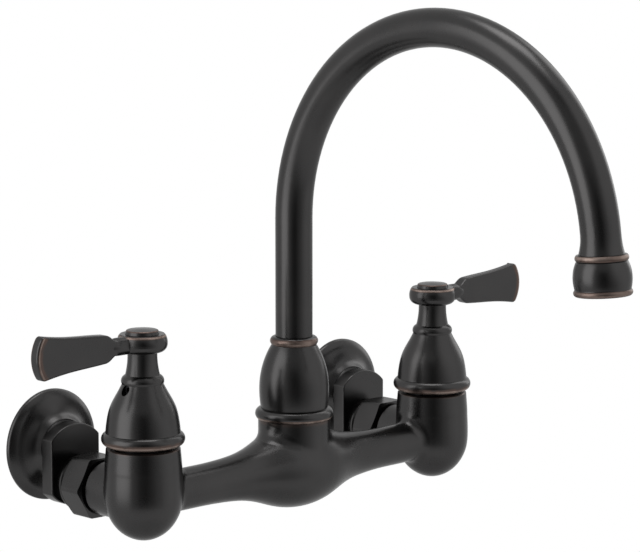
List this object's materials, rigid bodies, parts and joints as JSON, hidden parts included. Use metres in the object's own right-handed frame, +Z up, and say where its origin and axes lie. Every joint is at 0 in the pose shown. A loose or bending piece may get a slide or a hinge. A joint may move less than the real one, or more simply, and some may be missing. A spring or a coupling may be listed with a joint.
{
  "type": "two handle kitchen faucet",
  "caption": "Wall mounted kitchen faucet in dark bronze finish, with a swollen bridge body, lever handles and a swivelling high-arc spout.",
  "frame": {"origin": "on the finished wall, midway between the two water inlets, at their height", "axes": "+X runs from the hot (left) inlet to the cold (right) inlet, +Y into the wall, +Z up; the spout reaches towards -Y"},
  "size_m": [0.3366, 0.2873, 0.2582],
  "materials": {
    "dark_bronze": "near-black oil rubbed bronze over brass, satin, copper coloured where edges are worn",
    "brass": "machined",
    "rubber": "matt",
    "ceramic": "lapped alumina ceramic",
    "plastic": "moulded acetal",
    "steel": "stainless",
    "black_steel": "black oxide"
  },
  "bodies": {
    "body": {"bridge_body": "dark_bronze", "spout_bonnet": "dark_bronze", "spout_glide_ring": "plastic", "left_wall_flange": "dark_bronze", "left_offset_coupling": "dark_bronze", "left_union_nut": "dark_bronze", "left_union_washer": "rubber", "left_union_tailpiece": "brass", "left_cartridge_housing": "brass", "left_bonnet_nut": "dark_bronze", "left_housing_o_ring": "rubber", "left_fixed_disc": "ceramic", "left_seat_gasket": "rubber", "right_wall_flange": "dark_bronze", "right_offset_coupling": "dark_bronze", "right_union_nut": "dark_bronze", "right_union_washer": "rubber", "right_union_tailpiece": "brass", "right_cartridge_housing": "brass", "right_bonnet_nut": "dark_bronze", "right_housing_o_ring": "rubber", "right_fixed_disc": "ceramic", "right_seat_gasket": "rubber"},
    "left_handle": {"left_handle_bell": "dark_bronze", "left_lever": "dark_bronze", "left_handle_button": "dark_bronze", "left_set_screw": "black_steel", "left_valve_stem": "brass", "left_moving_disc": "ceramic", "left_stem_o_rings": "rubber"},
    "right_handle": {"right_handle_bell": "dark_bronze", "right_lever": "dark_bronze", "right_handle_button": "dark_bronze", "right_set_screw": "black_steel", "right_valve_stem": "brass", "right_moving_disc": "ceramic", "right_stem_o_rings": "rubber"},
    "spout": {"spout_tube": "dark_bronze", "spout_spud": "brass", "spout_o_rings": "rubber", "outlet_adapter": "dark_bronze", "aerator_shell": "dark_bronze", "aerator_insert": "plastic", "aerator_screen": "steel", "aerator_washer": "rubber"}
  },
  "joints": [
    {"name": "left_handle_turn", "type": "hinge", "parent": "body", "child": "left_handle", "pos_m": [-0.1016, -0.0708, 0.0603], "axis": [0, 0, 1], "range_deg": [0, 90]},
    {"name": "right_handle_turn", "type": "hinge", "parent": "body", "child": "right_handle", "pos_m": [0.1016, -0.0708, 0.0603], "axis": [0, 0, 1], "range_deg": [-90, 0]},
    {"name": "spout_swivel", "type": "hinge", "parent": "body", "child": "spout", "pos_m": [0, -0.0708, 0.03], "axis": [0, 0, 1], "range_deg": [-90, 90]}
  ]
}
